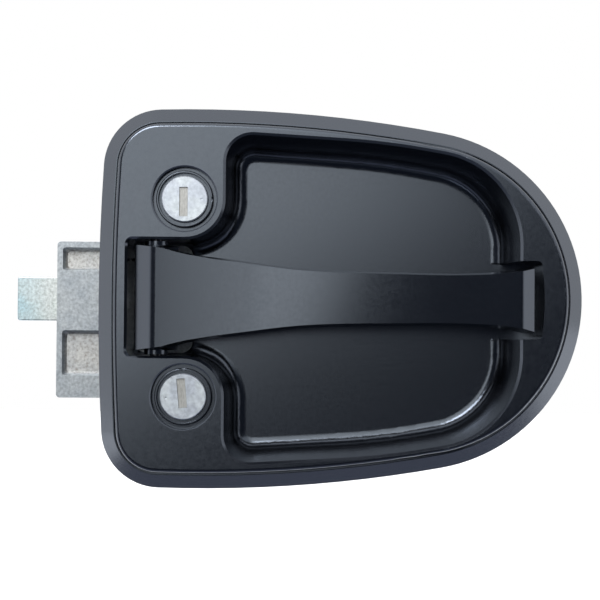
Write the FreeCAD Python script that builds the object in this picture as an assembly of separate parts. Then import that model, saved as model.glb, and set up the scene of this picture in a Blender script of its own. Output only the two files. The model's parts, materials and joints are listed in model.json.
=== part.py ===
"""Outer half of a trailer entry door lock, in millimetres.

X runs to the right along the face, away from the door's free edge. Y runs into the door. Z is up.
Y = 0 is the plane that the inner half bears on, and the face of the lock is the lowest Y.
"""

import FreeCAD, Part
import math
import os

# Plate outline: a D made of five tangent arcs, mirrored about Z = 0
plate_left = 66.7
plate_right = 66.6
plate_half_height = 52.3
nose_drop = 5.4
top_arc_r = 372.5
left_arc_r = 630.0
plate_corner_r = 16.2
nose_r = plate_half_height - nose_drop
nose_x = plate_right - nose_r

# Depths of the door and of the casting
face_proud = 10.2
gasket_thickness = 1.6
pocket_depth = 22.0
skirt_edge = 1.2
skirt_rise = 4.4
skirt_width = 3.9
groove_land = 0.25
groove_width = 0.7
groove_depth = 1.2
flange_width = 6.2
gasket_margin = 0.6
gasket_width = 4.0
roof_wall = 2.4
pocket_wall = 2.0
face_round = 1.1
mouth_round = 0.7
mouth_overrun = 0.4

# Key locks: where each one stands, and the sizes that the pocket keeps clear of
lock_x = -42.7
lock_z = 26.8
wrap_r = 11.0
barrel_r = 7.75
barrel_wall = 1.4
plug_gap = 0.05
plug_r = barrel_r - barrel_wall - plug_gap

# Finger pocket and the slot that holds the wide end of the handle
slot_left = -58.1
slot_half_height = lock_z - wrap_r
slot_corner_r = 1.4
pocket_left = -31.6
pocket_margins = (7.4, 10.0, 16.3)
pocket_top_mid_x = 12.0
pocket_right = 48.6
pocket_left_r = 7.3
pocket_mid_r = 200.0
pocket_right_r = 25.0
pocket_draft = 2.0
floor_r = 3.8
crank_gap_right = -41.7
crank_gap_r = 3.2
crank_gap_inset = 0.5
swing_notch_right = -37.4
swing_notch_half_height = 4.6

# Pull handle
pivot_x = -50.5
pivot_inset = 4.8
hub_r = 5.6
hub_gap = 1.5
hub_half = slot_half_height - hub_gap
hub_bevel_width = 4.9
hub_bevel_depth = 4.2
hub_slope_top = 6.1
hub_slope_foot = 11.4
handle_proud = 3.4
handle_right = 52.3
handle_bow = 6.6
handle_crown_x = 2.0
handle_bow_r = 230.0
handle_thickness = 5.6
handle_side_draft = 1.3
handle_end_rise = 1.4
end_bevel_width = 3.8
end_bevel_depth = 3.2
end_depth = 9.0
end_wall = 3.6
ear_r = 3.3
ear_gap = 0.4
handle_pull_deg = 25.0
crank_width = 5.0
crank_half_height = 3.0
crank_tip_r = 3.0
pin_r = 1.75
pin_gap = 0.05
pin_overhang = 0.8

# The handle from the front: (share of its length, share of the hub's half height)
handle_waist = [
    (0.0, 0.95),
    (0.085, 0.84),
    (0.225, 0.74),
    (0.39, 0.595),
    (0.64, 0.525),
    (0.885, 0.52),
    (1.0, 0.615),
]

# Notch that takes the free end of the handle
notch_right = 55.4
notch_bow = 0.9
notch_bow_r = 60.0
notch_gap = 1.9
notch_half_height = hub_half * handle_waist[-1][1] + notch_gap
notch_corner_r = 1.6
notch_foot_r = 0.3

# Key locks: barrel, core and what they hold
barrel_seat_gap = 0.05
barrel_mouth_gap = 1.0
barrel_mouth_depth = 2.5
barrel_mouth_chamfer = 0.4
barrel_recess = 0.3
rim_wall = 0.6
rim_depth = 1.6
rim_notch = 1.2
rim_notch_depth = 0.5
plug_recess = 0.1
sleeve_wall = 2.1
keyway_width = 2.3
keyway_margin = 2.3
keyway_height = 2 * (plug_r - keyway_margin)
keyway_depth = 20.0
upper_keyway_shift = (-0.3, -0.75)
lower_keyway_shift = (-0.2, 0.95)
lower_plug_tilt = 5.0
wafer_count = 5
wafer_thickness = 1.0
wafer_side = 1.55
wafer_width = keyway_width + 2 * wafer_side
wafer_pitch = 2.6
wafer_first = 5.2
wafer_fit = 0.05
groove_out = 0.7
tail_side = 4.0
shutter_thickness = 0.5
shutter_sink = 0.55
shutter_gap = 0.06
trunnion_r = 0.35
trunnion_length = 0.8
trunnion_gap = 0.05
relief_width = 0.75
relief_depth = 3.2
index_dot_r = 0.3
index_dot_depth = 0.2
index_dot_margin = 1.7
clip_thickness = 1.0
clip_groove = 1.2
clip_wing = 1.65
clip_back = 2.2
clip_reach = 0.25
clip_bite = 1.2
clip_land = 0.6
clip_corner_r = 1.5

# Latch housing and its cover
cover_thickness = 1.6
cavity_depth = 14.0
housing_wall = 2.2
nose_left = -80.9
nose_top = 16.4
nose_bottom = -28.4
body_left = -67.0
body_right = -26.2
body_margin = 6.45
body_half_height = lock_z + barrel_r + body_margin
tunnel_right = -14.0
tunnel_half_height = 6.0
housing_side_wall = 2.0
housing_corner_r = 2.5
nose_pad_left = 1.6
nose_pad_depth = 2.4
nose_pad_draft = 1.0
upper_pad = (8.1, 14.7)
lower_pad = (-22.0, -9.1)
crank_window = (-54.5, -36.4)
crank_window_half_height = 4.6

# Latch bolt, deadbolt and the slide that the crank drives
bolt_half_height = 6.35
bolt_thickness = 10.0
bolt_back_gap = 2.0
bolt_reach = 12.1
bolt_bevel_length = 10.5
bolt_tip_thickness = 2.6
bolt_tail = -41.0
bolt_corner_r = 0.8
slide_gap = 0.1
window_left = -64.0
window_floor = 2.75
bolt_spacing = 3.55
deadbolt_top = -bolt_half_height - bolt_spacing
deadbolt_height = 10.6
deadbolt_thickness = 7.0
deadbolt_recess = 0.5
fork_width = 8.4
fork_overlap = 1.0
tab_thickness = 3.0
tab_clearance = 0.4
tab_foot = 0.3
tab_head = 2.0
slide_bar_half_height = 3.9
slide_bar_thickness = 3.0
slide_bar_gap = 2.4
slide_bar_wall = 1.6
slide_arm_step = 1.0
slide_corner_r = 1.5

# Cams
cam_thickness = 1.8
cam_hub_r = 4.6
cam_gap = 0.4
upper_cam_r = 5.5
lower_cam_r = 8.0
upper_pin_r = 1.6
lower_pin_r = 1.8
pin_clearance = 0.3
cam_pin_length = 5.4
cam_screw_head_r = 2.6
cam_screw_head = 1.6
cam_screw_r = 1.5
cam_screw_length = 7.0

# Springs
wire_sides = 6
wire_corner_share = 1.1
handle_spring_wire = 0.8
handle_spring_pitch = 1.8
handle_spring_leg = 4.4
spring_well_r = 4.0
spring_well_foot = 1.2
spring_well_roof = 3.1
spring_well = (crank_half_height + spring_well_foot, hub_half - spring_well_roof)
well_mouth_start = 0.9
spring_gap = 0.3
latch_spring_wire = 1.0
latch_spring_pitch = 4.4
latch_spring_gap = 0.1
latch_spring_r = 3.3
spigot_length = 4.0

# Fixings
post_x = 17.0
post_z = 24.0
post_r = 4.2
post_hole_r = 1.65
post_hole_depth = 12.0
boss_r = 3.8
boss_hole_r = 1.25
housing_screw_rise = 4.7
housing_screw_places = [
    (lock_x - 13.8, lock_z + housing_screw_rise),
    (lock_x + 10.8, lock_z + housing_screw_rise),
]
cover_boss_side = 4.4
cover_boss_end = 3.0
cover_boss_r = 2.8
screw_r = 1.5
screw_head_r = 2.7
screw_head = 1.7
housing_screw_bite = 4.5
cover_screw_length = 7.0
thread_hole_r = 1.25

# Planes along the depth, worked out from the inner plane
cover_front_y = -cover_thickness
cavity_front_y = cover_front_y - cavity_depth
housing_front_y = cavity_front_y - housing_wall
floor_back_y = housing_front_y
floor_y = floor_back_y - pocket_wall
face_y = floor_y - pocket_depth
seat_y = face_y + face_proud
flange_y = seat_y - gasket_thickness
edge_y = flange_y - skirt_edge
skirt_y = edge_y - skirt_rise
groove_y = skirt_y + groove_depth
roof_y = face_y + roof_wall
face_inset = skirt_width + groove_land + groove_width
barrel_front_y = face_y + barrel_recess
plug_front_y = face_y + plug_recess
clip_y = cavity_front_y
barrel_back_y = clip_y + clip_thickness + clip_land
cam_y = barrel_back_y + cam_gap
cam_back_y = cam_y + cam_thickness
bolt_back_y = cover_front_y - bolt_back_gap
bolt_front_y = bolt_back_y - bolt_thickness
bolt_mid_y = (bolt_front_y + bolt_back_y) / 2
pivot_y = face_y + pivot_inset
crank_length = bolt_mid_y - pivot_y
latch_travel = crank_length * math.sin(math.radians(handle_pull_deg))
deadbolt_travel = 2 * lower_cam_r * math.sin(math.radians(45))
slide_travel = 2 * upper_cam_r * math.sin(math.radians(45))


def vec(x, y, z):
    return FreeCAD.Vector(x, y, z)


def box(x, y, z):
    """A block from three (low, high) pairs."""
    return Part.makeBox(x[1] - x[0], y[1] - y[0], z[1] - z[0], vec(x[0], y[0], z[0]))


def rod_y(x, z, radius, y_from, y_to):
    return Part.makeCylinder(radius, y_to - y_from, vec(x, y_from, z), vec(0, 1, 0))


def rod_z(x, y, radius, z_from, z_to):
    return Part.makeCylinder(radius, z_to - z_from, vec(x, y, z_from), vec(0, 0, 1))


def fuse(first, *others):
    return first.multiFuse(list(others)).removeSplitter()


def cut(first, *others):
    return first.cut(list(others))


def facing(y):
    """Puts an (x, z) pair in the plane Y = y."""
    return lambda x, z: vec(x, y, z)


def from_above(z):
    """Puts an (x, y) pair in the plane Z = z."""
    return lambda x, y: vec(x, y, z)


def rounded_wire(corners, place):
    """A closed wire through (a, b, radius) corners, each rounded by an arc."""
    spans = []
    for i, (a, b, radius) in enumerate(corners):
        here = place(a, b)
        to_last = place(*corners[i - 1][:2]) - here
        to_next = place(*corners[(i + 1) % len(corners)][:2]) - here
        to_last.normalize()
        to_next.normalize()
        half = to_last.getAngle(to_next) / 2
        middle = to_last + to_next
        middle.normalize()
        reach = radius / math.tan(half)
        centre = here + middle * (radius / math.sin(half))
        spans.append((here + to_last * reach, centre - middle * radius, here + to_next * reach))
    edges = []
    for i, (start, crown, end) in enumerate(spans):
        edges.append(Part.Arc(start, crown, end).toShape())
        edges.append(Part.LineSegment(end, spans[(i + 1) % len(spans)][0]).toShape())
    return Part.Wire(edges)


def rounded_box(x, y, z, radius):
    """A block along Y whose four long edges are rounded."""
    corners = [(x[0], z[0], radius), (x[0], z[1], radius), (x[1], z[1], radius), (x[1], z[0], radius)]
    return prism(rounded_wire(corners, facing(y[0])), y[1])


def prism(wire, y_to):
    face = Part.Face(wire)
    return face.extrude(vec(0, y_to - wire.BoundBox.YMin, 0))


def loft(first, second):
    return Part.makeLoft([first, second], True, True)


def mirrored(corners):
    """Adds the mirror image about Z = 0 of a run of corners that is given from left to right."""
    return corners + [(x, -z, radius) for x, z, radius in reversed(corners)]


def circle_meeting(centre_a, radius_a, centre_b, radius_b):
    """The left-hand one of the upper points where two circles in the XZ plane meet."""
    along = centre_b - centre_a
    distance = along.Length
    along.normalize()
    across = vec(-along.z, 0, along.x)
    reach = (radius_a**2 - radius_b**2 + distance**2) / (2 * distance)
    offset = math.sqrt(radius_a**2 - reach**2)
    points = [centre_a + along * reach + across * side * offset for side in (1, -1)]
    return min(points, key=lambda p: p.x)


def plate_wire(inset, y):
    """The plate's outline, drawn in by an even margin."""
    nose = vec(nose_x, 0, 0)
    top_z = plate_half_height - top_arc_r
    top = vec(nose_x - math.sqrt((top_arc_r - nose_r) ** 2 - top_z**2), 0, top_z)
    left = vec(left_arc_r - plate_left, 0, 0)
    corner = circle_meeting(
        top, top_arc_r - plate_corner_r, left, left_arc_r - plate_corner_r
    )

    def on_arc(centre, radius, towards):
        direction = towards - centre
        direction.normalize()
        return centre + direction * (radius - inset)

    nose_end = on_arc(top, top_arc_r, nose)
    corner_top = on_arc(top, top_arc_r, corner)
    corner_left = on_arc(left, left_arc_r, corner)
    top_mid = on_arc(top, top_arc_r, (nose_end + corner_top) * 0.5)
    corner_mid = on_arc(corner, plate_corner_r, (corner_top + corner_left) * 0.5)
    upper = [nose_end, top_mid, corner_top, corner_mid, corner_left]
    lower = [vec(p.x, 0, -p.z) for p in upper]
    nose_tip = vec(nose_x + nose_r - inset, 0, 0)
    left_tip = vec(-plate_left + inset, 0, 0)
    arcs = [
        (lower[0], nose_tip, upper[0]),
        (upper[0], upper[1], upper[2]),
        (upper[2], upper[3], upper[4]),
        (upper[4], left_tip, lower[4]),
        (lower[4], lower[3], lower[2]),
        (lower[2], lower[1], lower[0]),
    ]
    wire = Part.Wire([Part.Arc(*arc).toShape() for arc in arcs])
    wire.translate(vec(0, y, 0))
    return wire


def pocket_wire(grow, slot_grow, y):
    """The finger pocket and handle slot as one outline. Only the pocket's walls take the draft."""
    top_left, top_mid, top_right = [plate_half_height - margin + grow for margin in pocket_margins]
    corners = [
        (slot_left - slot_grow, slot_half_height + slot_grow, slot_corner_r + slot_grow),
        (pocket_left - grow, slot_half_height + slot_grow, wrap_r - grow),
        (pocket_left - grow, top_left, pocket_left_r + grow),
        (pocket_top_mid_x, top_mid, pocket_mid_r),
        (pocket_right + grow, top_right, pocket_right_r + grow),
    ]
    return rounded_wire(mirrored(corners), facing(y))


def notch_shape(grow, y_from, y_to):
    left = pocket_right - pocket_draft - floor_r - grow
    half = notch_half_height + grow
    right = notch_right + grow
    corner = notch_corner_r + grow
    corners = [
        (left, half, notch_foot_r),
        (right - notch_bow, half, corner),
        (right, 0, notch_bow_r),
        (right - notch_bow, -half, corner),
        (left, -half, notch_foot_r),
    ]
    return prism(rounded_wire(corners, facing(y_from)), y_to)


def outer_plate():
    """One die casting: skirt, raised face, finger pocket, handle slot, lock sleeves and posts."""
    skirt = prism(plate_wire(0, flange_y), edge_y)
    bevel = loft(plate_wire(0, edge_y), plate_wire(skirt_width, skirt_y))
    groove = cut(
        prism(plate_wire(skirt_width + groove_land, skirt_y - 1), groove_y),
        prism(plate_wire(face_inset, skirt_y - 2), groove_y + 1),
    )
    raised = prism(plate_wire(face_inset, flange_y), face_y)
    rim = [e for e in raised.Edges if abs(e.BoundBox.YMax - face_y) < 1e-4]
    raised = raised.makeFillet(face_round, rim)
    body = cut(fuse(skirt, bevel), groove)
    body = fuse(body, raised)
    body = cut(body, prism(plate_wire(flange_width, roof_y), flange_y + 1))

    pocket_shell = loft(
        pocket_wire(pocket_wall, pocket_wall, roof_y - 0.5),
        pocket_wire(pocket_wall - pocket_draft, pocket_wall, floor_back_y),
    )
    notch_shell = notch_shape(pocket_wall, roof_y - 0.5, floor_back_y)
    towers = []
    for side in (1, -1):
        towers.append(
            rod_y(lock_x, side * lock_z, barrel_r + sleeve_wall, roof_y - 0.5, floor_back_y)
        )
        for x, z in housing_screw_places:
            towers.append(rod_y(x, side * z, boss_r, roof_y - 0.5, floor_back_y))
        for x in (post_x, -post_x):
            towers.append(rod_y(x, side * post_z, post_r, floor_back_y - 0.5, 0))
    body = fuse(body, pocket_shell, notch_shell, *towers)

    mouth_foot = pocket_wire(0, 0, face_y + mouth_round)
    wide = mouth_round + mouth_overrun
    mouth = loft(pocket_wire(wide, wide, face_y - mouth_overrun), mouth_foot)
    pocket = loft(mouth_foot, pocket_wire(-pocket_draft, 0, floor_y))
    sole = [e for e in pocket.Edges if abs(e.BoundBox.YMin - floor_y) < 1e-4]
    pocket = pocket.makeFillet(floor_r, sole)
    notch = notch_shape(0, face_y - 1, floor_y)
    crank_gap = rounded_box(
        (slot_left, crank_gap_right),
        (floor_y - floor_r, floor_back_y + 1),
        (-slot_half_height + crank_gap_inset, slot_half_height - crank_gap_inset),
        crank_gap_r,
    )
    swing_notch = rounded_box(
        (crank_gap_right - 4, swing_notch_right),
        (floor_y - 1, floor_back_y + 1),
        (-swing_notch_half_height, swing_notch_half_height),
        1.0,
    )
    body = cut(body, pocket, mouth, notch, crank_gap, swing_notch)

    drills = [rod_z(pivot_x, pivot_y, pin_r, -handle_pin_half(), handle_pin_half())]
    for side in (1, -1):
        z = side * lock_z
        drills.append(
            rod_y(lock_x, z, barrel_r + barrel_seat_gap, face_y - 1, floor_back_y + 1)
        )
        mouth_r = barrel_r + barrel_mouth_gap
        drills.append(rod_y(lock_x, z, mouth_r, face_y - 1, face_y + barrel_mouth_depth))
        drills.append(
            Part.makeCone(
                mouth_r + 2 * barrel_mouth_chamfer,
                mouth_r,
                2 * barrel_mouth_chamfer,
                vec(lock_x, face_y - barrel_mouth_chamfer, z),
                vec(0, 1, 0),
            )
        )
        for x, hole_z in housing_screw_places:
            drills.append(
                rod_y(x, side * hole_z, boss_hole_r, floor_back_y - housing_screw_bite - 1, 1)
            )
        for x in (post_x, -post_x):
            drills.append(rod_y(x, side * post_z, post_hole_r, -post_hole_depth, 1))
    return cut(body, *drills)


def plate_gasket():
    """A flat foam ring between the flange and the door skin."""
    ring = prism(plate_wire(gasket_margin, flange_y), seat_y)
    hole = prism(plate_wire(gasket_margin + gasket_width, flange_y - 1), seat_y + 1)
    return cut(ring, hole)


def handle_pin_half():
    return slot_half_height + pocket_wall + pin_overhang


def handle_left():
    return pivot_x - hub_r


def handle_waist_wire(y, grow):
    """The handle seen from the front: wide at the hinge, waisted, and a little wider at its free end."""
    length = handle_right - handle_left()
    top = [vec(handle_left() + x * length, y, z * hub_half + grow) for x, z in handle_waist]
    bottom = [vec(p.x, y, -p.z) for p in top]
    top_curve = Part.BSplineCurve()
    top_curve.interpolate(top)
    bottom_curve = Part.BSplineCurve()
    bottom_curve.interpolate(bottom)
    return Part.Wire(
        [
            top_curve.toShape(),
            Part.LineSegment(top[-1], bottom[-1]).toShape(),
            bottom_curve.toShape(),
            Part.LineSegment(bottom[0], top[0]).toShape(),
        ]
    )


def handle_side_wire(z):
    """The handle's section seen from above: bevelled hinge end, bowed bar and turned-in free end."""
    left = handle_left()
    right = handle_right
    front = face_y - handle_proud
    back = pivot_y + hub_r
    crown = front - handle_bow
    end_front = front - handle_end_rise
    end_back = end_front + end_depth
    corners = [
        (left, back, hub_r - 0.9),
        (left, front + hub_bevel_depth, 1.2),
        (left + hub_bevel_width, front, 4.0),
        (handle_crown_x, crown, handle_bow_r),
        (right - end_bevel_width, end_front, 2.6),
        (right, end_front + end_bevel_depth, 1.0),
        (right, end_back, 0.8),
        (right - end_wall, end_back, 0.8),
        (right - end_wall - 3.0, end_front + handle_thickness, 4.0),
        (handle_crown_x, crown + handle_thickness, handle_bow_r - handle_thickness),
        (pivot_x + 2.2 * hub_r, front + handle_thickness, 10.0),
        (pivot_x + hub_r, back, hub_r - 1.6),
    ]
    return rounded_wire(corners, from_above(z))


def pull_handle():
    """One casting: the bowed grip, the hinge hub and the crank that drives the latch."""
    tall = 2 * slot_half_height
    slab = Part.Face(handle_side_wire(-tall)).extrude(vec(0, 0, 2 * tall))
    front = face_y - handle_proud - handle_bow - 1
    back = pivot_y + hub_r + 1
    bar = loft(
        handle_waist_wire(front, -handle_side_draft), handle_waist_wire(back, handle_side_draft)
    )
    left = handle_left()
    hub_corners = [
        vec(left - 1, front, -hub_half),
        vec(left + hub_slope_top, front, -hub_half),
        vec(left + hub_slope_foot, back, -hub_half),
        vec(left - 1, back, -hub_half),
        vec(left - 1, front, -hub_half),
    ]
    hub = Part.Face(Part.makePolygon(hub_corners)).extrude(vec(0, 0, 2 * hub_half))
    grip = slab.common(fuse(bar, hub))
    crank = box(
        (pivot_x - crank_width / 2, pivot_x + crank_width / 2),
        (pivot_y, bolt_mid_y),
        (-crank_half_height, crank_half_height),
    )
    tip = rod_z(pivot_x, bolt_mid_y, crank_tip_r, -crank_half_height, crank_half_height)
    ear_half = slot_half_height - ear_gap
    ears = rod_z(pivot_x, pivot_y, ear_r, -ear_half, ear_half)
    handle = fuse(grip, ears, crank, tip)
    well = rod_z(pivot_x, pivot_y, spring_well_r, *spring_well)
    well_mouth = box(
        (handle_left() - 1, pivot_x + spring_well_r),
        (pivot_y + well_mouth_start, pivot_y + hub_r + 2),
        spring_well,
    )
    bore = rod_z(pivot_x, pivot_y, pin_r + pin_gap, -slot_half_height, slot_half_height)
    return cut(handle, well, well_mouth, bore)


def handle_pin():
    half = handle_pin_half()
    pin = rod_z(pivot_x, pivot_y, pin_r, -half, half)
    ends = [e for e in pin.Edges if abs(abs(e.CenterOfMass.z) - half) < 1e-4]
    return pin.makeChamfer(0.3, ends)


def coil(radius, wire_r, turns, length):
    """A wire helix about Z, starting at the origin's plane. The wire has a few flat sides to stay light."""
    path = Part.Wire(Part.makeHelix(length / turns, length, radius))
    corners = []
    for i in range(wire_sides + 1):
        angle = 2 * math.pi * i / wire_sides
        corner_r = wire_r * wire_corner_share
        corners.append(vec(radius + corner_r * math.cos(angle), 0, corner_r * math.sin(angle)))
    return path.makePipeShell([Part.makePolygon(corners)], True, True)


def handle_spring():
    """The torsion spring round the hinge pin, with one leg on the slot's wall and one on the handle."""
    wire_r = handle_spring_wire / 2
    radius = spring_well_r - spring_gap - wire_r
    low = spring_well[0] + spring_gap + wire_r
    high = spring_well[1] - spring_gap - wire_r
    spring = coil(radius, wire_r, round((high - low) / handle_spring_pitch), high - low)
    spring.translate(vec(pivot_x, pivot_y, low))
    rear_leg = Part.makeCylinder(
        wire_r, handle_spring_leg, vec(pivot_x + radius, pivot_y, low), vec(0, 1, 0)
    )
    wall_reach = pivot_x + radius - slot_left - spring_gap
    side_leg = Part.makeCylinder(
        wire_r,
        wall_reach,
        vec(pivot_x + radius, pivot_y + radius + wire_r, high),
        vec(-1, 0, 0),
    )
    riser = Part.makeCylinder(
        wire_r, radius + wire_r, vec(pivot_x + radius, pivot_y, high), vec(0, 1, 0)
    )
    knee = Part.makeSphere(wire_r, vec(pivot_x + radius, pivot_y + radius + wire_r, high))
    return fuse(spring, rear_leg, riser, knee, side_leg)


def latch_spring():
    wire_r = latch_spring_wire / 2
    start = bolt_tail + wire_r + latch_spring_gap
    end = tunnel_right - housing_side_wall - wire_r - latch_spring_gap
    spring = coil(latch_spring_r, wire_r, round((end - start) / latch_spring_pitch), end - start)
    spring.rotate(vec(0, 0, 0), vec(0, 1, 0), 90)
    spring.translate(vec(start, bolt_mid_y, 0))
    return spring


def cover_screw_places():
    z = body_half_height - cover_boss_end
    columns = (body_left + cover_boss_side, body_right - cover_boss_side)
    return [(x, sign * z) for x in columns for sign in (1, -1)]


def housing_outline(y_from, y_to, grow):
    """The latch housing's outline: wide body, nose through the door's edge and spring tunnel."""
    body = rounded_box(
        (body_left - grow, body_right + grow),
        (y_from, y_to),
        (-body_half_height - grow, body_half_height + grow),
        housing_corner_r,
    )
    tunnel_half = tunnel_half_height + housing_side_wall + grow
    tunnel = rounded_box(
        (body_right - 6, tunnel_right + grow), (y_from, y_to), (-tunnel_half, tunnel_half), 1.5
    )
    return body, tunnel


def pad_wire(pad, inset, y):
    """The outline of a recess in the nose's front, drawn in by its draft."""
    left = nose_left + nose_pad_left + inset
    right = body_left + 3
    low, high = pad[0] + inset, pad[1] - inset
    corners = [(left, low, 0.8), (left, high, 0.8), (right, high, 0.8), (right, low, 0.8)]
    return rounded_wire(corners, facing(y))


def latch_housing():
    """A raw zinc die casting, open at the back, with both bolts guided in its nose."""
    span = (housing_front_y, cover_front_y)
    body, tunnel = housing_outline(*span, 0)
    nose = rounded_box((nose_left, body_left + 6), span, (nose_bottom, nose_top), 1.0)
    housing = fuse(body, tunnel, nose)
    inner = (cavity_front_y, cover_front_y + 1)
    side = housing_side_wall
    cavity = rounded_box(
        (body_left + side, body_right - side),
        inner,
        (-body_half_height + side, body_half_height - side),
        1.5,
    )
    spring_room = box(
        (body_right - side - 2, tunnel_right - side),
        inner,
        (-tunnel_half_height, tunnel_half_height),
    )
    housing = cut(housing, cavity, spring_room)
    bosses = []
    for x, z in cover_screw_places():
        bosses.append(rod_y(x, z, cover_boss_r, cavity_front_y - 0.5, cover_front_y))
    housing = fuse(housing, *bosses)

    cuts = []
    gap = slide_gap
    cuts.append(
        box(
            (nose_left - 1, body_left + side + 1),
            (bolt_front_y - gap, bolt_back_y + gap),
            (-bolt_half_height - gap, bolt_half_height + gap),
        )
    )
    cuts.append(
        box(
            (nose_left - 1, body_left + side + 1),
            (deadbolt_front_y() - gap, deadbolt_back_y() + gap),
            (deadbolt_top - deadbolt_height - gap, deadbolt_top + gap),
        )
    )
    for pad in (upper_pad, lower_pad):
        cuts.append(
            loft(
                pad_wire(pad, 0, housing_front_y),
                pad_wire(pad, nose_pad_draft, housing_front_y + nose_pad_depth),
            )
        )
    cuts.append(
        rounded_box(
            crank_window,
            (housing_front_y - 1, cavity_front_y + 1),
            (-crank_window_half_height, crank_window_half_height),
            1.0,
        )
    )
    for sign in (1, -1):
        cuts.append(
            rod_y(
                lock_x,
                sign * lock_z,
                barrel_r + barrel_seat_gap,
                housing_front_y - 1,
                cavity_front_y + 1,
            )
        )
        for x, z in housing_screw_places:
            cuts.append(rod_y(x, sign * z, screw_r, housing_front_y - 1, cavity_front_y + 1))
    for x, z in cover_screw_places():
        cuts.append(rod_y(x, z, thread_hole_r, cover_front_y - cover_screw_length - 1, 1))
    return cut(housing, *cuts)


def housing_cover():
    """A stamped steel plate that closes the housing. The inner half works the bolts through its slots."""
    body, tunnel = housing_outline(cover_front_y, 0, -0.3)
    nose = rounded_box(
        (nose_left + 0.3, body_left + 6), (cover_front_y, 0), (nose_bottom + 0.3, nose_top - 0.3), 1.0
    )
    cover = fuse(body, tunnel, nose)
    slots = [
        rounded_box(inner_latch_slot(), (cover_front_y - 1, 1), (-2.2, 2.2), 1.5),
        rounded_box(inner_bolt_slot(), (cover_front_y - 1, 1), deadbolt_hole_span(), 1.5),
    ]
    for x, z in cover_screw_places():
        slots.append(rod_y(x, z, screw_r, cover_front_y - 1, 1))
    return cut(cover, *slots)


def inner_latch_slot():
    return (window_left + 1.5, window_left + 6.5 + latch_travel)


def inner_bolt_slot():
    low, high = deadbolt_hole()
    return (low - deadbolt_travel, high)


def deadbolt_hole():
    return (-56.0, -50.0)


def deadbolt_hole_span():
    middle = deadbolt_top - deadbolt_height / 2
    return (middle - 2.4, middle + 2.4)


def deadbolt_front_y():
    return cam_back_y + cam_gap


def deadbolt_back_y():
    return deadbolt_front_y() + deadbolt_thickness


def latch_bolt():
    """The spring latch: bevelled on the inner side, with a window for the crank and its slide."""
    left = nose_left - bolt_reach
    tip_y = bolt_front_y + bolt_tip_thickness
    outline = Part.makePolygon(
        [
            vec(left, bolt_front_y, 0),
            vec(bolt_tail, bolt_front_y, 0),
            vec(bolt_tail, bolt_back_y, 0),
            vec(left + bolt_bevel_length, bolt_back_y, 0),
            vec(left, tip_y, 0),
            vec(left, bolt_front_y, 0),
        ]
    )
    outline.translate(vec(0, 0, -bolt_half_height))
    bolt = Part.Face(outline).extrude(vec(0, 0, 2 * bolt_half_height))
    nose_edges = [
        e
        for e in bolt.Edges
        if e.BoundBox.XMax < left + 0.01 and abs(e.BoundBox.ZLength) < 0.01
    ]
    bolt = bolt.makeFillet(bolt_corner_r, nose_edges)
    tab_left, tab_right = tab_span()
    window = box(
        (window_left, tab_right + slide_gap),
        (bolt_front_y - 1, bolt_back_y + 1),
        (-bolt_half_height + window_floor, bolt_half_height - window_floor),
    )
    slide_way = box(
        (tab_left - slide_gap, tab_right + slide_gap),
        (bolt_front_y - 1, bolt_back_y + 1),
        (0, bolt_half_height + 1),
    )
    spigot = Part.makeCylinder(
        latch_spring_r - latch_spring_wire / 2 - spring_gap,
        spigot_length,
        vec(bolt_tail, bolt_mid_y, 0),
        vec(1, 0, 0),
    )
    return fuse(cut(bolt, window, slide_way), spigot)


def tab_span():
    """Where the drive slide's tab stands in X: just clear of the crank's round tip."""
    low = pivot_x + crank_tip_r + tab_clearance
    return (low, low + tab_thickness)


def cam_pin_place(side):
    """Centre of a cam's pin at rest."""
    reach = math.sin(math.radians(45))
    if side > 0:
        return (lock_x - upper_cam_r * reach, lock_z - upper_cam_r * reach)
    return (lock_x + lower_cam_r * reach, -lock_z + lower_cam_r * reach)


def drive_slide():
    """The slide that the crank pushes. The upper lock lifts its tab out of the crank's way."""
    tab = tab_span()
    pin_x, pin_z = cam_pin_place(1)
    tab_front = bolt_front_y + 2 * slide_gap
    bar_front = cam_back_y + slide_bar_gap
    arm_back = bar_front + slide_bar_thickness + slide_arm_step
    foot = box(
        tab, (tab_front, arm_back), (-crank_half_height - tab_foot, crank_half_height + tab_head)
    )
    arm = box(tab, (bar_front, arm_back), (0, pin_z))
    half_slot = upper_pin_r + pin_clearance
    slot_left_end = lock_x - upper_cam_r - latch_travel - half_slot
    slot_right_end = pin_x + half_slot
    bar = rounded_box(
        (slot_left_end - slide_bar_wall, slot_right_end + slide_bar_wall),
        (bar_front, bar_front + slide_bar_thickness),
        (pin_z - slide_bar_half_height, pin_z + slide_bar_half_height),
        slide_corner_r,
    )
    slot = rounded_box(
        (slot_left_end, slot_right_end),
        (bar_front - 1, arm_back + 1),
        (pin_z - half_slot, pin_z + half_slot),
        half_slot - 0.05,
    )
    return cut(fuse(foot, arm, bar), slot)


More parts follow.
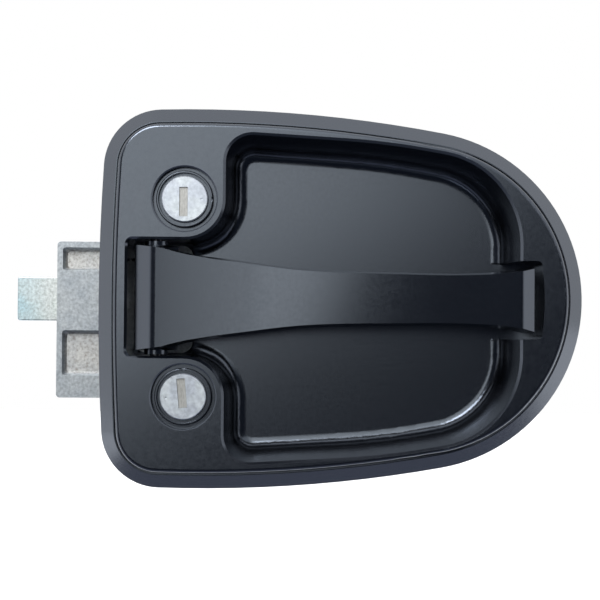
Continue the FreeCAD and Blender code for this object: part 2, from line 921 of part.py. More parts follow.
def deadbolt():
    """A square bolt with a fork that the lower lock's cam pin pushes left and right."""
    pin_x, pin_z = cam_pin_place(-1)
    half_slot = lower_pin_r + pin_clearance
    bar = box(
        (nose_left + deadbolt_recess, pin_x + fork_width / 2),
        (deadbolt_front_y(), deadbolt_back_y()),
        (deadbolt_top - deadbolt_height, deadbolt_top),
    )
    ends = [
        e for e in bar.Edges if e.BoundBox.XMax < nose_left + deadbolt_recess + 0.01
    ]
    bar = bar.makeChamfer(0.6, ends)
    fork_foot = -lock_z + cam_screw_head_r + 0.6
    fork = box(
        (pin_x - fork_width / 2, pin_x + fork_width / 2),
        (deadbolt_front_y(), deadbolt_back_y()),
        (fork_foot, deadbolt_top - fork_overlap),
    )
    groove = box(
        (pin_x - half_slot, pin_x + half_slot),
        (deadbolt_front_y() - 1, cam_back_y + cam_pin_length + 0.4),
        (fork_foot - 1, -lock_z + lower_cam_r + half_slot),
    )
    hole = rounded_box(
        deadbolt_hole(),
        (deadbolt_front_y() - 1, deadbolt_back_y() + 1),
        deadbolt_hole_span(),
        1.5,
    )
    return cut(fuse(bar, fork), groove, hole)


def place_lock(shape, side, turn=0.0):
    """Moves a shape built about the origin's Y axis to the upper (1) or lower (-1) lock."""
    moved = shape.copy()
    moved.rotate(vec(0, 0, 0), vec(0, 1, 0), turn)
    moved.translate(vec(lock_x, 0, side * lock_z))
    return moved


def plug_turn(side):
    """The lower plug stands a few degrees off upright."""
    return -lower_plug_tilt if side < 0 else 0.0


def keyway_span(side):
    shift_x, shift_z = upper_keyway_shift if side > 0 else lower_keyway_shift
    x = (shift_x - keyway_width / 2, shift_x + keyway_width / 2)
    z = (shift_z - keyway_height / 2, shift_z + keyway_height / 2)
    return x, z


def lock_barrel(side):
    """The fixed cylinder of a key lock, with a thin rim in front and broached wafer grooves."""
    barrel = rod_y(0, 0, barrel_r, barrel_front_y, barrel_back_y)
    rim = [
        e
        for e in barrel.Edges
        if abs(e.BoundBox.YMax - barrel_front_y) < 1e-4 and e.BoundBox.XLength > 1
    ]
    barrel = barrel.makeChamfer(0.25, rim)
    bore_r = plug_r + plug_gap
    cuts = [
        rod_y(0, 0, bore_r, barrel_front_y - 1, barrel_back_y + 1),
        rod_y(0, 0, barrel_r - rim_wall, barrel_front_y - 1, barrel_front_y + rim_depth),
    ]
    groove_span = (plug_front_y + wafer_first - 1, barrel_back_y - 4)
    half = wafer_width / 2 + 0.2
    reach = bore_r + groove_out
    cuts.append(box((-half, half), groove_span, (-reach, reach)))
    cuts.append(box((-reach, reach), groove_span, (-half, half)))
    flat = barrel_r - clip_bite
    for sign in (1, -1):
        low, high = sorted((sign * flat, sign * (barrel_r + 1)))
        cuts.append(box((-barrel_r, barrel_r), (clip_y, clip_y + clip_groove), (low, high)))
    notch_span = (barrel_front_y - 1, barrel_front_y + rim_notch_depth)
    notch = box((0, barrel_r + 1), notch_span, (-rim_notch / 2, rim_notch / 2))
    if side < 0:
        notch.rotate(vec(0, 0, 0), vec(0, 1, 0), -90)
    cuts.append(notch)
    return place_lock(cut(barrel, *cuts), side)


def lock_clip(side):
    """A flat horseshoe clip in the barrel's two grooves, behind the housing's front wall."""
    half = barrel_r + clip_wing
    flat = barrel_r - clip_bite + barrel_seat_gap
    y = (clip_y, clip_y + clip_thickness)
    plate = rounded_box(
        (-barrel_r - clip_back, barrel_r - clip_reach), y, (-half, half), clip_corner_r
    )
    mouth = box((0, barrel_r + 3), (y[0] - 1, y[1] + 1), (-flat, flat))
    throat = rod_y(0, 0, barrel_r + barrel_seat_gap, y[0] - 1, y[1] + 1)
    closed_end = box((-barrel_r - 4, 0), (y[0] - 2, y[1] + 2), (-flat, flat))
    return place_lock(cut(plate, mouth, throat.common(closed_end)), side)


def wafer_places():
    return [plug_front_y + wafer_first + i * wafer_pitch for i in range(wafer_count)]


def lock_plug(side):
    """The turning core, with its keyway, wafer slots, shutter relief and a square tail."""
    dot_x = side * (plug_r - index_dot_margin)
    tail_end = cam_back_y
    plug = fuse(
        rod_y(0, 0, plug_r, plug_front_y, barrel_back_y),
        box((-tail_side / 2, tail_side / 2), (barrel_back_y - 1, tail_end), (-tail_side / 2, tail_side / 2)),
    )
    rim = [
        e
        for e in plug.Edges
        if abs(e.BoundBox.YMax - plug_front_y) < 1e-4 and e.BoundBox.XLength > 1
    ]
    plug = plug.makeChamfer(0.3, rim)
    (x0, x1), z = keyway_span(side)
    key_end = plug_front_y + keyway_depth
    cuts = [box((x0, x1), (plug_front_y - 1, key_end), z)]
    relief_start = plug_front_y + shutter_sink - 0.1
    cuts.append(box((x0 - relief_width, x0 + 0.1), (relief_start, relief_start + relief_depth), z))
    hinge_x, hinge_y = shutter_hinge(side)
    reach = trunnion_length + 0.1
    cuts.append(
        rod_z(hinge_x, hinge_y, trunnion_r + trunnion_gap, z[0] - reach, z[1] + reach)
    )
    for y in wafer_places():
        half = wafer_width / 2
        slot = box(
            (-half, half), (y, y + wafer_thickness + wafer_fit), (-plug_r - 1, plug_r + 1)
        )
        cuts.append(slot)
    cuts.append(
        rod_y(dot_x, 0, index_dot_r, plug_front_y - 1, plug_front_y + index_dot_depth)
    )
    cuts.append(rod_y(0, 0, cam_screw_r, tail_end - cam_screw_length, tail_end + 1))
    return place_lock(cut(plug, *cuts), side, plug_turn(side))


def lock_wafers(side):
    """Flat brass tumblers, drawn at the height that the key lifts them to."""
    (x0, x1), (z0, z1) = keyway_span(side)
    half = wafer_width / 2 - wafer_fit
    wafers = []
    for y in wafer_places():
        blank = box((-half, half), (y, y + wafer_thickness), (-plug_r, plug_r))
        blank = blank.common(rod_y(0, 0, plug_r, y - 1, y + wafer_thickness + 1))
        window = box((x0, x1), (y - 1, y + wafer_thickness + 1), (z0, z1))
        wafers.append(cut(blank, window))
    return place_lock(Part.makeCompound(wafers), side, plug_turn(side))


def shutter_hinge(side):
    (x0, _), _ = keyway_span(side)
    return (x0 - trunnion_r, plug_front_y + shutter_sink + shutter_thickness / 2)


def key_shutter(side):
    """The sprung flap that closes the keyway, turning on two trunnions beside it."""
    (x0, x1), (z0, z1) = keyway_span(side)
    hinge_x, hinge_y = shutter_hinge(side)
    half = shutter_thickness / 2
    leaf = box(
        (hinge_x, x1 - shutter_gap),
        (hinge_y - half, hinge_y + half),
        (z0 + shutter_gap, z1 - shutter_gap),
    )
    knuckle = rod_z(
        hinge_x, hinge_y, trunnion_r, z0 - trunnion_length, z1 + trunnion_length
    )
    return place_lock(fuse(leaf, knuckle), side, plug_turn(side))


def lock_cam(side):
    """A cam plate on the plug's square tail, with the pin that works its slide or bolt."""
    pin_x, pin_z = cam_pin_place(side)
    pin_x -= lock_x
    pin_z -= side * lock_z
    pin_r_here = upper_pin_r if side > 0 else lower_pin_r
    y = (cam_y, cam_back_y)
    hub = rod_y(0, 0, cam_hub_r, *y)
    eye = rod_y(pin_x, pin_z, pin_r_here + 0.8, *y)
    reach = math.hypot(pin_x, pin_z)
    arm = box((0, reach), y, (-pin_r_here - 0.8, pin_r_here + 0.8))
    arm.rotate(vec(0, 0, 0), vec(0, 1, 0), -math.degrees(math.atan2(pin_z, pin_x)))
    pin = rod_y(pin_x, pin_z, pin_r_here, cam_y, cam_back_y + cam_pin_length)
    square = box(
        (-tail_side / 2, tail_side / 2), (cam_y - 1, cam_back_y + 1), (-tail_side / 2, tail_side / 2)
    )
    square.rotate(vec(0, 0, 0), vec(0, 1, 0), plug_turn(side))
    return place_lock(cut(fuse(hub, eye, arm, pin), square), side)


def pan_screw(x, z, seat, direction, length, radius, head_r, head):
    """A pan-head screw. Its head stands on the side that direction points away from."""
    shank = Part.makeCylinder(radius, length, vec(x, seat, z), vec(0, direction, 0))
    cap = Part.makeCylinder(head_r, head, vec(x, seat, z), vec(0, -direction, 0))
    outer = seat - direction * head
    rim = [e for e in cap.Edges if abs(e.CenterOfMass.y - outer) < 1e-4 and e.BoundBox.XLength > 1]
    return fuse(shank, cap.makeChamfer(head * 0.35, rim))


def cam_screw(side):
    screw = pan_screw(
        0, 0, cam_back_y, -1, cam_screw_length - 0.5, cam_screw_r, cam_screw_head_r, cam_screw_head
    )
    return place_lock(screw, side)


def housing_screws():
    """Four screws through the housing's front wall into the plate's bosses."""
    length = housing_wall + housing_screw_bite
    screws = []
    for x, z in housing_screw_places:
        for sign in (1, -1):
            screws.append(
                pan_screw(x, sign * z, cavity_front_y, -1, length, boss_hole_r, screw_head_r, screw_head)
            )
    return Part.makeCompound(screws)


def cover_screws():
    length = cover_thickness + cover_screw_length - 0.5
    screws = []
    for x, z in cover_screw_places():
        screws.append(pan_screw(x, z, 0, -1, length, thread_hole_r, screw_head_r, screw_head))
    return Part.makeCompound(screws)


nodes = {
    "outer_plate": outer_plate(),
    "plate_gasket": plate_gasket(),
    "pull_handle": pull_handle(),
    "handle_pin": handle_pin(),
    "handle_spring": handle_spring(),
    "latch_housing": latch_housing(),
    "housing_cover": housing_cover(),
    "housing_screws": housing_screws(),
    "cover_screws": cover_screws(),
    "latch_bolt": latch_bolt(),
    "latch_spring": latch_spring(),
    "drive_slide": drive_slide(),
    "deadbolt": deadbolt(),
}
for label, side in (("upper", 1), ("lower", -1)):
    nodes[label + "_lock_barrel"] = lock_barrel(side)
    nodes[label + "_lock_clip"] = lock_clip(side)
    nodes[label + "_lock_plug"] = lock_plug(side)
    nodes[label + "_lock_wafers"] = lock_wafers(side)
    nodes[label + "_key_shutter"] = key_shutter(side)
    nodes[label + "_lock_cam"] = lock_cam(side)
    nodes[label + "_cam_screw"] = cam_screw(side)

os.makedirs("parts", exist_ok=True)
for name, shape in nodes.items():
    shape.exportStep("parts/" + name + ".step")
    print(name, len(shape.Solids), "solids, volume", round(shape.Volume, 2), "valid", shape.isValid())
print("latch travel", round(latch_travel, 3), "deadbolt", round(deadbolt_travel, 3))
print("slide", round(slide_travel, 3), "crank", round(crank_length, 3))
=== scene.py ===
"""Looks of the trailer entry door lock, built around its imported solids. Metres, +Y into the door, +Z up."""

import json
import math

import bmesh
import bpy
from mathutils import Matrix, Vector

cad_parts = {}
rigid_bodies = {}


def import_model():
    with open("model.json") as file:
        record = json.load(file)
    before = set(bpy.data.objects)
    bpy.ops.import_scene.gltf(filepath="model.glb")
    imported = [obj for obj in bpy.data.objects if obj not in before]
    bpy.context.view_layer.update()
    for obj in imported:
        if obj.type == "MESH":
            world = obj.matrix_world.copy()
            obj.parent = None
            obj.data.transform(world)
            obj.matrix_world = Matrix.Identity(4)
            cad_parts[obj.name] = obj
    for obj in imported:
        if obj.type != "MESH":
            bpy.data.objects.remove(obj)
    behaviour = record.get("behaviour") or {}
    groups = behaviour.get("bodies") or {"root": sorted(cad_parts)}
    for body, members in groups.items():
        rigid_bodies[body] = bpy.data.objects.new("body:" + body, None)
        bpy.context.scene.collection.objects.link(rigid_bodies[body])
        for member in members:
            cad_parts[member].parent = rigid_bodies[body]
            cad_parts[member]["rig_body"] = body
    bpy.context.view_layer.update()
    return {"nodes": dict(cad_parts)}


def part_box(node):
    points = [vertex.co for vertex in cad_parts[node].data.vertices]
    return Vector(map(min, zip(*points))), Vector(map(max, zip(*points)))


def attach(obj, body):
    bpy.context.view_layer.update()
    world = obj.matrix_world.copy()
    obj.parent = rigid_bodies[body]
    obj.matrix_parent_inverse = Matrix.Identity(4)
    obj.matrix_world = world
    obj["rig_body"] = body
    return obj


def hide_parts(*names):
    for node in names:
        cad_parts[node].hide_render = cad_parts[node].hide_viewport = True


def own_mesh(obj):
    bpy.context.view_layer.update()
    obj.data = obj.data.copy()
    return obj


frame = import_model()

# Latch housing and drive slide
# A raw zinc die casting that carries both bolts, and the slide that runs in it. The nose is as it came
# from the die: matt, mottled and cool grey in front, paler and speckled where its recesses kept the
# skin of the casting.
housing_edge = 0.00022
rubbed_depth = (0.0008, 0.0018)
zinc_speckle = 0.0008
zinc_cloud = 0.007
zinc_dark = (0.4, 0.43, 0.46, 1)
zinc_mid = (0.52, 0.555, 0.59, 1)
zinc_light = (0.64, 0.68, 0.71, 1)
skin_dark = (0.42, 0.39, 0.37, 1)
skin_mid = (0.6, 0.6, 0.6, 1)
skin_light = (0.78, 0.78, 0.77, 1)
veil_cool = (0.82, 0.84, 0.87, 1)
veil_clear = (1, 1, 0.99, 1)
weld_distance = 2e-6
sliver_length = 1e-6
flat_deg = 0.04
edge_segments = 2
sharp_deg = 28
shading_weight = 75
noise_middle = (0.3, 0.7)


def add_object(name, data):
    """A new object in the scene, at the origin."""
    thing = bpy.data.objects.new(name, data)
    bpy.context.scene.collection.objects.link(thing)
    return thing


def smooth_copy(node, edge):
    """A merged copy of a solid's mesh with small rounded edges and even shading. It stands for the solid."""
    source = frame["nodes"][node]
    mesh = source.data.copy()
    mesh.materials.clear()
    shape = bmesh.new()
    shape.from_mesh(mesh)
    bmesh.ops.remove_doubles(shape, verts=shape.verts, dist=weld_distance)
    bmesh.ops.dissolve_degenerate(shape, edges=shape.edges, dist=sliver_length)
    bmesh.ops.dissolve_limit(
        shape, angle_limit=math.radians(flat_deg), verts=shape.verts, edges=shape.edges
    )
    for part in (*shape.faces, *shape.edges):
        part.smooth = True
    shape.to_mesh(mesh)
    shape.free()
    piece = add_object(node + "_piece", mesh)
    if edge:
        bevel = piece.modifiers.new("rounded_edges", "BEVEL")
        bevel.width = edge
        bevel.segments = edge_segments
        bevel.limit_method = "ANGLE"
        bevel.angle_limit = math.radians(sharp_deg)
        bevel.use_clamp_overlap = True
    even = piece.modifiers.new("even_shading", "WEIGHTED_NORMAL")
    even.mode = "FACE_AREA_WITH_ANGLE"
    even.weight = shading_weight
    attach(piece, source["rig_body"])
    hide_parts(node)
    return piece


def mix(nodes, links, share, first, second, kind="MIX"):
    """A colour between two others. Each of the three may be a value or a socket."""
    node = nodes.new("ShaderNodeMix")
    node.data_type = "RGBA"
    node.blend_type = kind
    for socket, value in ((node.inputs[0], share), (node.inputs[6], first), (node.inputs[7], second)):
        if isinstance(value, bpy.types.NodeSocket):
            links.new(value, socket)
        else:
            socket.default_value = value
    return node.outputs[2]


def eased(nodes, links, value, low, high):
    """0 to 1 as a value goes from low to high, with soft ends."""
    steps = nodes.new("ShaderNodeMapRange")
    steps.interpolation_type = "SMOOTHSTEP"
    steps.inputs["From Min"].default_value = low
    steps.inputs["From Max"].default_value = high
    links.new(value, steps.inputs["Value"])
    return steps.outputs["Result"]


class Finish:
    """A node material for one of the lock's finishes, built up from noise on the piece's own coordinates."""

    def __init__(self, name, metallic, roughness, ior=1.5, specular=0.5):
        self.material = bpy.data.materials.new(name)
        self.material.use_nodes = True
        self.nodes = self.material.node_tree.nodes
        self.links = self.material.node_tree.links
        self.shader = self.nodes["Principled BSDF"]
        self.shader.inputs["Metallic"].default_value = metallic
        self.shader.inputs["Roughness"].default_value = roughness
        self.shader.inputs["IOR"].default_value = ior
        self.shader.inputs["Specular IOR Level"].default_value = specular
        self.place = self.nodes.new("ShaderNodeTexCoord").outputs["Object"]
        self.relief = None

    def noise(self, size, detail=3.0, rough=0.55, denser=(1, 1, 1)):
        """Noise whose blotches are about size metres across, and closer together along a denser axis."""
        mapping = self.nodes.new("ShaderNodeMapping")
        mapping.inputs["Scale"].default_value = Vector(denser) / size
        texture = self.nodes.new("ShaderNodeTexNoise")
        texture.inputs["Scale"].default_value = 1.0
        texture.inputs["Detail"].default_value = detail
        texture.inputs["Roughness"].default_value = rough
        self.links.new(self.place, mapping.inputs["Vector"])
        self.links.new(mapping.outputs["Vector"], texture.inputs["Vector"])
        return texture.outputs["Fac"]

    def along(self, axis, start, end):
        """0 to 1 between two places on an axis of the piece, in metres."""
        parts = self.nodes.new("ShaderNodeSeparateXYZ")
        self.links.new(self.place, parts.inputs["Vector"])
        return eased(self.nodes, self.links, parts.outputs[axis], start, end)

    def ramp(self, value, *stops):
        """Colours along a value, given as (place, colour) pairs."""
        node = self.nodes.new("ShaderNodeValToRGB")
        marks = node.color_ramp.elements
        while len(marks) < len(stops):
            marks.new(0.5)
        for mark, (place, colour) in zip(marks, stops):
            mark.position = place
            mark.color = colour
        self.links.new(value, node.inputs["Fac"])
        return node.outputs["Color"]

    def blend(self, share, first, second):
        return mix(self.nodes, self.links, share, first, second)

    def tinted(self, colour, tint):
        return mix(self.nodes, self.links, 1.0, colour, tint, kind="MULTIPLY")

    def colour(self, value):
        self.links.new(value, self.shader.inputs["Base Color"])

    def roughness(self, value, low, high):
        node = self.nodes.new("ShaderNodeMapRange")
        node.inputs["From Min"].default_value = noise_middle[0]
        node.inputs["From Max"].default_value = noise_middle[1]
        node.inputs["To Min"].default_value = low
        node.inputs["To Max"].default_value = high
        self.links.new(value, node.inputs["Value"])
        self.links.new(node.outputs["Result"], self.shader.inputs["Roughness"])

    def bump(self, value, depth, strength):
        """Relief of depth metres. Each call adds to the last."""
        node = self.nodes.new("ShaderNodeBump")
        node.inputs["Strength"].default_value = strength
        node.inputs["Distance"].default_value = depth
        self.links.new(value, node.inputs["Height"])
        if self.relief:
            self.links.new(self.relief, node.inputs["Normal"])
        self.relief = node.outputs["Normal"]
        self.links.new(self.relief, self.shader.inputs["Normal"])

    def coat(self, piece):
        piece.data.materials.clear()
        piece.data.materials.append(self.material)


raw_zinc = Finish("raw_zinc", metallic=0.9, roughness=0.5)
blotches = raw_zinc.noise(zinc_speckle, detail=5, rough=0.62)
clouds = raw_zinc.noise(zinc_cloud, detail=2)
rubbed = raw_zinc.ramp(blotches, (0.34, zinc_dark), (0.5, zinc_mid), (0.66, zinc_light))
skin = raw_zinc.ramp(blotches, (0.34, skin_dark), (0.46, skin_mid), (0.66, skin_light))
front_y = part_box("latch_housing")[0][1]
behind = raw_zinc.along("Y", front_y + rubbed_depth[0], front_y + rubbed_depth[1])
veil = raw_zinc.ramp(clouds, (0.35, veil_cool), (0.65, veil_clear))
raw_zinc.colour(raw_zinc.tinted(raw_zinc.blend(behind, rubbed, skin), veil))
raw_zinc.roughness(clouds, low=0.42, high=0.6)
raw_zinc.bump(blotches, depth=0.00004, strength=0.6)
for node in ("latch_housing", "drive_slide"):
    piece = smooth_copy(node, housing_edge)
    raw_zinc.coat(piece)

# Latch bolt and deadbolt
# Zinc castings with a clear plate. The latch is brighter than the housing, cool at its tip and warmer
# towards the housing, and its corners are tumbled smooth.
bolt_edge = 0.0003
tint_length = 0.012
bolt_speckle = 0.0008
bolt_cloud = 0.009
bolt_dark = (0.46, 0.49, 0.5, 1)
bolt_mid = (0.68, 0.72, 0.74, 1)
bolt_light = (0.9, 0.93, 0.95, 1)
cool_deep = (0.74, 0.93, 1, 1)
cool_pale = (0.86, 0.97, 1, 1)
warm_deep = (0.97, 1, 0.96, 1)
warm_pale = (1, 1, 0.98, 1)
plated = Finish("plated_bolt", metallic=0.9, roughness=0.35)
grain = plated.noise(bolt_speckle, detail=5, rough=0.6)
patch = plated.noise(bolt_cloud, detail=1)
bright = plated.ramp(grain, (0.32, bolt_dark), (0.5, bolt_mid), (0.68, bolt_light))
cool = plated.ramp(patch, (0.4, cool_deep), (0.6, cool_pale))
warm = plated.ramp(patch, (0.4, warm_deep), (0.6, warm_pale))
tip_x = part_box("latch_bolt")[0][0]
tint = plated.blend(plated.along("X", tip_x, tip_x + tint_length), cool, warm)
plated.colour(plated.tinted(bright, tint))
plated.roughness(grain, low=0.3, high=0.5)
plated.bump(grain, depth=0.00004, strength=0.5)
for node in ("latch_bolt", "deadbolt"):
    piece = smooth_copy(node, bolt_edge)
    plated.coat(piece)

# Housing cover, its screws and the cams
# Zinc-plated steel pressings and turned screws, with a faint grain from the plating bath. The screws
# hold the housing to the plate, the cover to the housing and each cam to the tail of its lock plug.
cover_edge = 0.0002
cam_edge = 0.00015
screw_edge = 0.0001
bath_size = 0.0018
bath_grit = 0.0004
bath_dark = (0.4, 0.42, 0.45, 1)
bath_light = (0.49, 0.51, 0.54, 1)
zinc_plate = Finish("zinc_plate", metallic=1.0, roughness=0.34)
bath = zinc_plate.noise(bath_size, detail=4)
zinc_plate.colour(zinc_plate.ramp(bath, (0.35, bath_dark), (0.65, bath_light)))
zinc_plate.roughness(bath, low=0.26, high=0.42)
zinc_plate.bump(zinc_plate.noise(bath_grit, detail=2), depth=0.00001, strength=0.5)
for node, edge in (
    ("housing_cover", cover_edge),
    ("housing_screws", screw_edge),
    ("cover_screws", screw_edge),
    ("upper_lock_cam", cam_edge),
    ("lower_lock_cam", cam_edge),
    ("upper_cam_screw", screw_edge),
    ("lower_cam_screw", screw_edge),
):
    piece = smooth_copy(node, edge)
    zinc_plate.coat(piece)

# Outer plate, lock barrels and pull handle
# Zinc castings under a satin black coat: near-black and cool, with a soft sheen and a very fine orange
# peel. The blue in the sheen is painted: a cool tint on the coat's reflections stands in for the
# bluish light of the room it mirrors. The handle's grip narrows from its hinge hub in one line.
plate_edge = 0.0003
handle_edge = 0.00035
barrel_edge = 0.0001
peel_size = 0.0009
film_size = 0.0003
coat_black = (0.0018, 0.0021, 0.003, 1)
coat_lighter = (0.0038, 0.0044, 0.006, 1)
painted_cool_reflection_tint = (0.72, 0.82, 1, 1)
black_coat = Finish("black_coat", metallic=0.0, roughness=0.2, ior=1.85, specular=0.72)
# Painted reflection colour: the blue specular tint stands in for the cool room light that the coat mirrors.
black_coat.shader.inputs["Specular Tint"].default_value = painted_cool_reflection_tint
peel = black_coat.noise(peel_size, detail=3)
film = black_coat.noise(film_size, detail=2)
black_coat.colour(black_coat.ramp(film, (0.35, coat_black), (0.65, coat_lighter)))
black_coat.roughness(peel, low=0.17, high=0.22)
black_coat.bump(peel, depth=0.000006, strength=0.5)
black_coat.bump(film, depth=0.000003, strength=0.5)
black_pieces = {}
for node, edge in (
    ("outer_plate", plate_edge),
    ("pull_handle", handle_edge),
    ("upper_lock_barrel", barrel_edge),
    ("lower_lock_barrel", barrel_edge),
):
    black_pieces[node] = smooth_copy(node, edge)
    black_coat.coat(black_pieces[node])

hub_half = 0.0143
hub_margin = 0.001
inner_half = 0.009
front_points_y = -0.04105
grip_start = 0.00781
grip_start_half = 0.0132
grip_rise = 0.00146
flow_length = 0.018
near = 0.0001
at_start = 0.00003


def blend_grip_into_hub(mesh, left):
    """Slides the front points of hub and grip up or down, so that one edge flows on from the other."""
    shape = bmesh.new()
    shape.from_mesh(mesh)
    for point in shape.verts:
        if point.co.y > front_points_y:
            continue
        along = point.co.x - left
        past = along - grip_start
        half = abs(point.co.z)
        if half > hub_half - near and past < near:
            half -= (hub_half - grip_start_half) * along / grip_start
        elif inner_half < half < hub_half - hub_margin and -near < past < flow_length:
            half += grip_rise * (1 - past / flow_length) ** 2
        if abs(past) < at_start and half > inner_half:
            half = grip_start_half
        point.co.z = math.copysign(half, point.co.z)
    bmesh.ops.remove_doubles(shape, verts=shape.verts, dist=weld_distance)
    shape.to_mesh(mesh)
    shape.free()


blend_grip_into_hub(black_pieces["pull_handle"].data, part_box("pull_handle")[0][0])

# Foam gasket
# A ring of black closed-cell foam, full of fine pores, cut from sheet and squeezed between the plate's
# flange and the skin of the door.
gasket_edge = 0.0003
pore_size = 0.0006
foam_dark = (0.008, 0.008, 0.009, 1)
foam_light = (0.03, 0.03, 0.032, 1)
foam = Finish("foam", metallic=0.0, roughness=0.85)
pores = foam.noise(pore_size, detail=3)
foam.colour(foam.ramp(pores, (0.4, foam_dark), (0.6, foam_light)))
foam.bump(pores, depth=0.0001, strength=0.8)
gasket = smooth_copy("plate_gasket", gasket_edge)
foam.coat(gasket)

# Lock plugs and key shutters
# Satin nickel cores with a blasted face that has worn in patches. The shutters are thin rolled steel
# flaps, a little duller, which close the keyways from inside.
plug_edge = 0.00012
shutter_edge = 0.00006
blast_size = 0.0012
blast_grit = 0.00035
worn_size = 0.0045
rolled_size = 0.0012
nickel_dark = (0.56, 0.61, 0.67, 1)
nickel_light = (0.76, 0.82, 0.88, 1)
worn_tint = (0.88, 0.88, 0.92, 1)
no_tint = (1, 1, 1, 1)
shutter_dark = (0.42, 0.42, 0.41, 1)
shutter_light = (0.56, 0.56, 0.55, 1)
nickel = Finish("satin_nickel", metallic=0.85, roughness=0.38)
blasted = nickel.noise(blast_size, detail=4)
shade = nickel.ramp(blasted, (0.35, nickel_dark), (0.65, nickel_light))
worn = nickel.ramp(nickel.noise(worn_size, detail=1), (0.4, worn_tint), (0.6, no_tint))
nickel.colour(nickel.tinted(shade, worn))
nickel.roughness(blasted, low=0.32, high=0.48)
nickel.bump(nickel.noise(blast_grit, detail=2), depth=0.000012, strength=0.6)
shutter_steel = Finish("shutter_steel", metallic=0.7, roughness=0.4)
rolled = shutter_steel.noise(rolled_size, detail=3, denser=(4, 1, 1))
shutter_steel.colour(shutter_steel.ramp(rolled, (0.35, shutter_dark), (0.65, shutter_light)))
shutter_steel.roughness(rolled, low=0.32, high=0.45)
for label in ("upper", "lower"):
    plug = smooth_copy(label + "_lock_plug", plug_edge)
    nickel.coat(plug)
    shutter = smooth_copy(label + "_key_shutter", shutter_edge)
    shutter_steel.coat(shutter)

# Wafers, clips, springs and hinge pin
# Stamped brass tumblers, clips and springs of oiled spring steel, and a blackened pin. The latch spring
# is pushed short from its left end as the handle draws the bolt in.
clip_edge = 0.00012
stamped_size = 0.001
brass_dark = (0.6, 0.45, 0.2, 1)
brass_light = (0.78, 0.62, 0.32, 1)
oiled_size = 0.0015
oiled_dark = (0.2, 0.2, 0.21, 1)
oiled_light = (0.36, 0.36, 0.37, 1)
drawn_size = 0.001
pin_dark = (0.03, 0.031, 0.034, 1)
pin_light = (0.07, 0.072, 0.077, 1)
brass = Finish("brass", metallic=1.0, roughness=0.32)
stamped = brass.noise(stamped_size, detail=3)
brass.colour(brass.ramp(stamped, (0.35, brass_dark), (0.65, brass_light)))
brass.roughness(stamped, low=0.26, high=0.4)
spring_steel = Finish("spring_steel", metallic=1.0, roughness=0.3)
oiled = spring_steel.noise(oiled_size, detail=2)
spring_steel.colour(spring_steel.ramp(oiled, (0.35, oiled_dark), (0.65, oiled_light)))
spring_steel.roughness(oiled, low=0.22, high=0.38)
bright_steel = Finish("bright_steel", metallic=1.0, roughness=0.25)
drawn = bright_steel.noise(drawn_size, detail=2, denser=(3, 3, 0.2))
bright_steel.colour(bright_steel.ramp(drawn, (0.35, pin_dark), (0.65, pin_light)))
bright_steel.roughness(drawn, low=0.2, high=0.32)
small_pieces = {}
for node, finish, slot, edge in (
    ("upper_lock_wafers", brass, "brass", 0),
    ("lower_lock_wafers", brass, "brass", 0),
    ("upper_lock_clip", spring_steel, "spring_steel", clip_edge),
    ("lower_lock_clip", spring_steel, "spring_steel", clip_edge),
    ("handle_spring", spring_steel, "spring_steel", 0),
    ("latch_spring", spring_steel, "spring_steel", 0),
    ("handle_pin", bright_steel, "bright_steel", 0),
):
    small_pieces[node] = smooth_copy(node, edge)
    finish.coat(small_pieces[node])
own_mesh(small_pieces["latch_spring"])

# Floor
# A sheet of white paper that starts behind the lock, which hangs clear above it. Its glow makes it
# white where it is seen or mirrored, and the light that falls on it leaves the lock's soft shadow.
floor_z = -0.17
floor_front = 0.03
floor_half = 1.2
floor_glow = 0.6
paper_colour = (0.8, 0.8, 0.81, 1)
shape = bmesh.new()
bmesh.ops.create_grid(shape, x_segments=1, y_segments=1, size=floor_half)
bmesh.ops.translate(shape, verts=shape.verts, vec=(0, floor_front + floor_half, floor_z))
floor_mesh = bpy.data.meshes.new("floor")
shape.to_mesh(floor_mesh)
shape.free()
add_object("floor", floor_mesh)
paper = bpy.data.materials.new("paper")
paper.use_nodes = True
nodes = paper.node_tree.nodes
links = paper.node_tree.links
matt = nodes["Principled BSDF"]
matt.inputs["Base Color"].default_value = paper_colour
matt.inputs["Roughness"].default_value = 0.9
matt.inputs["Specular IOR Level"].default_value = 0.1
glow = nodes.new("ShaderNodeEmission")


def any_ray(nodes, links, *kinds):
    """1 for a ray of one of these kinds, and else 0."""
    path = nodes.new("ShaderNodeLightPath")
    total = path.outputs[kinds[0]]
    for kind in kinds[1:]:
        either = nodes.new("ShaderNodeMath")
        either.operation = "MAXIMUM"
        links.new(total, either.inputs[0])
        links.new(path.outputs[kind], either.inputs[1])
        total = either.outputs["Value"]
    return total


strength = nodes.new("ShaderNodeMath")
strength.operation = "MULTIPLY"
strength.inputs[1].default_value = floor_glow
links.new(
    any_ray(nodes, links, "Is Camera Ray", "Is Glossy Ray", "Is Transmission Ray"), strength.inputs[0]
)
links.new(strength.outputs["Value"], glow.inputs["Strength"])
both = nodes.new("ShaderNodeAddShader")
links.new(matt.outputs["BSDF"], both.inputs[0])
links.new(glow.outputs["Emission"], both.inputs[1])
links.new(both.outputs["Shader"], nodes["Material Output"].inputs["Surface"])
floor_mesh.materials.append(paper)

# Studio light
# A white backdrop behind the lock, which its gloss shows too, and a soft window high over the left
# shoulder of the camera that fades to the right. The room on the camera's side is dim, and so is the
# space below.
dim_room = (0.035, 0.042, 0.06, 1)
window = (1.82, 1.82, 1.72, 1)
window_far = (0.8, 0.83, 0.84, 1)
backdrop = (1, 1, 1, 1)
below = (0.3, 0.32, 0.4, 1)
world = bpy.data.worlds.new("studio")
bpy.context.scene.world = world
world.use_nodes = True
nodes = world.node_tree.nodes
links = world.node_tree.links
nodes.clear()
direction = nodes.new("ShaderNodeTexCoord").outputs["Generated"]


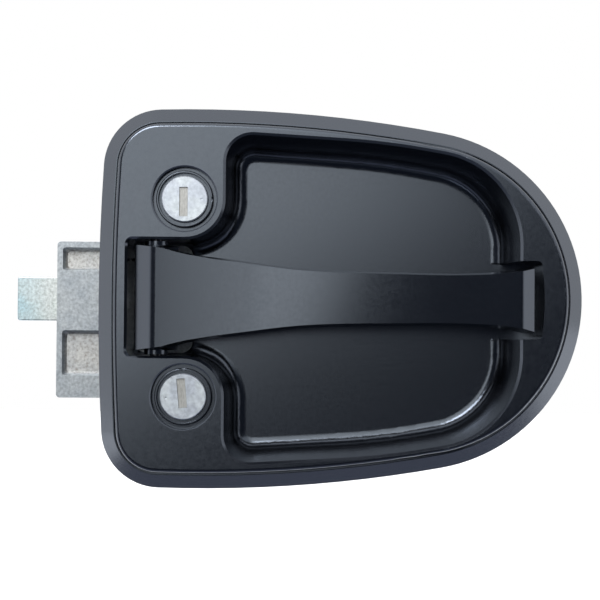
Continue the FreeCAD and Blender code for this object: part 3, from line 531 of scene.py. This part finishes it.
def facing_share(towards, low, high):
    """How far a direction points towards another, as 0 to 1 between two cosines."""
    dot = nodes.new("ShaderNodeVectorMath")
    dot.operation = "DOT_PRODUCT"
    dot.inputs[1].default_value = Vector(towards).normalized()
    links.new(direction, dot.inputs[0])
    return eased(nodes, links, dot.outputs["Value"], low, high)


upward = facing_share((-0.5, 0, 0.87), low=-0.01, high=0.075)
leftward = facing_share((-1, 0, 0), low=0.25, high=0.4)
rightward = facing_share((1, 0, 0), low=-0.02, high=0.2)
not_below = facing_share((0, 0, 1), low=-0.75, high=-0.2)
behind_lock = facing_share((0, 1, 0), low=-0.62, high=-0.3)
pane = mix(nodes, links, rightward, window, window_far)
lit = mix(nodes, links, upward, dim_room, pane)
room = mix(nodes, links, leftward, lit, dim_room)
around = mix(nodes, links, not_below, below, backdrop)
studio = mix(nodes, links, behind_lock, room, around)
straight = any_ray(nodes, links, "Is Camera Ray", "Is Transmission Ray")
background = nodes.new("ShaderNodeBackground")
links.new(mix(nodes, links, straight, studio, backdrop), background.inputs["Color"])
out = nodes.new("ShaderNodeOutputWorld")
links.new(background.outputs["Background"], out.inputs["Surface"])

# Key lamp
# A round softbox high on the left in front, which gives the lock its shadow on the floor.
lamp_place = (-0.35, -0.75, 0.6)
lamp_size = 0.5
lamp_watts = 6.0
lamp_data = bpy.data.lights.new("key_softbox", "AREA")
lamp_data.shape = "DISK"
lamp_data.size = lamp_size
lamp_data.energy = lamp_watts
lamp = add_object("key_softbox", lamp_data)
lamp.location = lamp_place
lamp.rotation_euler = (-Vector(lamp_place)).to_track_quat("-Z", "Y").to_euler()

# Camera
# About 0.39 m in front of the handle, a little low and tipped up, with the slight roll of the
# photograph.
camera_place = (-0.01203, -0.4366, -0.0086)
camera_tip_deg = 1.19
camera_swing_deg = -0.125
camera_roll_deg = 0.45
sensor_mm = 36.0
lens_mm = 87.5
bpy.context.scene.view_settings.view_transform = "Standard"
camera_data = bpy.data.cameras.new("camera")
camera_data.sensor_width = sensor_mm
camera_data.lens = lens_mm
camera = add_object("camera", camera_data)
camera.matrix_world = (
    Matrix.Translation(camera_place)
    @ Matrix.Rotation(math.radians(camera_swing_deg), 4, "Z")
    @ Matrix.Rotation(math.radians(90 + camera_tip_deg), 4, "X")
    @ Matrix.Rotation(math.radians(camera_roll_deg), 4, "Z")
)
bpy.context.scene.camera = camera
